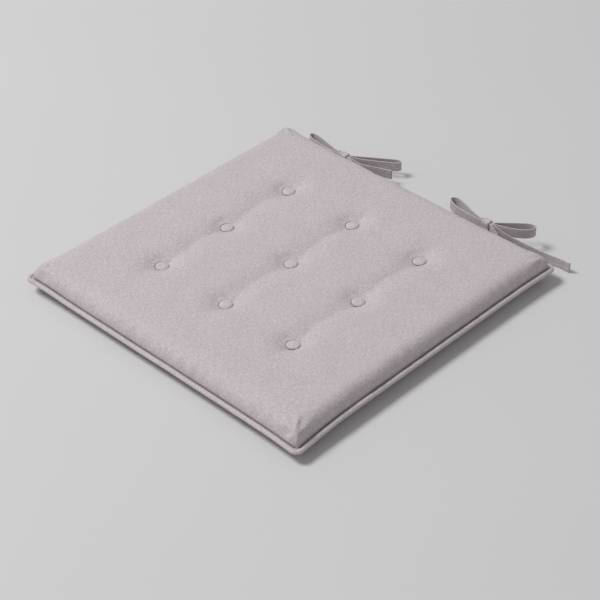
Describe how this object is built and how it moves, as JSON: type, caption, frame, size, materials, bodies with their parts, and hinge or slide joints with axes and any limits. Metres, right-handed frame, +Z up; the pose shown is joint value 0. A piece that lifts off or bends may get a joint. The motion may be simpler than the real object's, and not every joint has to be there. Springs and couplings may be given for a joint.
{
  "type": "chair seat pad",
  "caption": "Square tufted chair seat pad with a corded edge, fabric covered buttons and knotted fabric ties along one edge.",
  "frame": {"origin": "middle of the pad's underside, on the surface it lies on", "axes": "+Z up through the pad's thickness, +Y towards the edge that carries the ties, +X to the right seen from the front edge"},
  "size_m": [0.4106, 0.4478, 0.034],
  "materials": {
    "cover_fabric": "matte heathered weave",
    "tie_fabric": "matte heathered weave, folded and topstitched",
    "foam": "matte open-cell foam",
    "filler_cord": "matte twisted cotton",
    "tuft_thread": "matte waxed twine",
    "button_shell": "satin",
    "backing_plastic": "satin"
  },
  "bodies": {
    "pad": {"top_panel": "cover_fabric", "bottom_panel": "cover_fabric", "foam_core": "foam", "piping_cover": "cover_fabric", "piping_cord": "filler_cord", "button_cover_front_left": "cover_fabric", "button_cover_front_centre": "cover_fabric", "button_cover_front_right": "cover_fabric", "button_cover_middle_left": "cover_fabric", "button_cover_middle_centre": "cover_fabric", "button_cover_middle_right": "cover_fabric", "button_cover_back_left": "cover_fabric", "button_cover_back_centre": "cover_fabric", "button_cover_back_right": "cover_fabric", "button_shell_front_left": "button_shell", "button_shell_front_centre": "button_shell", "button_shell_front_right": "button_shell", "button_shell_middle_left": "button_shell", "button_shell_middle_centre": "button_shell", "button_shell_middle_right": "button_shell", "button_shell_back_left": "button_shell", "button_shell_back_centre": "button_shell", "button_shell_back_right": "button_shell", "tuft_thread_front_left": "tuft_thread", "tuft_thread_front_centre": "tuft_thread", "tuft_thread_front_right": "tuft_thread", "tuft_thread_middle_left": "tuft_thread", "tuft_thread_middle_centre": "tuft_thread", "tuft_thread_middle_right": "tuft_thread", "tuft_thread_back_left": "tuft_thread", "tuft_thread_back_centre": "tuft_thread", "tuft_thread_back_right": "tuft_thread", "backing_button_front_left": "backing_plastic", "backing_button_front_centre": "backing_plastic", "backing_button_front_right": "backing_plastic", "backing_button_middle_left": "backing_plastic", "backing_button_middle_centre": "backing_plastic", "backing_button_middle_right": "backing_plastic", "backing_button_back_left": "backing_plastic", "backing_button_back_centre": "backing_plastic", "backing_button_back_right": "backing_plastic"},
    "left_tie": {"left_tie_strap_a": "tie_fabric", "left_tie_strap_b": "tie_fabric"},
    "right_tie": {"right_tie_strap_a": "tie_fabric", "right_tie_strap_b": "tie_fabric"}
  },
  "joints": [
    {"name": "left_tie_swing", "type": "hinge", "parent": "pad", "child": "left_tie", "pos_m": [-0.113, 0.2, 0.016], "axis": [1, 0, 0], "range_deg": [0, 60]},
    {"name": "right_tie_swing", "type": "hinge", "parent": "pad", "child": "right_tie", "pos_m": [0.104, 0.2, 0.016], "axis": [1, 0, 0], "range_deg": [0, 45]}
  ]
}
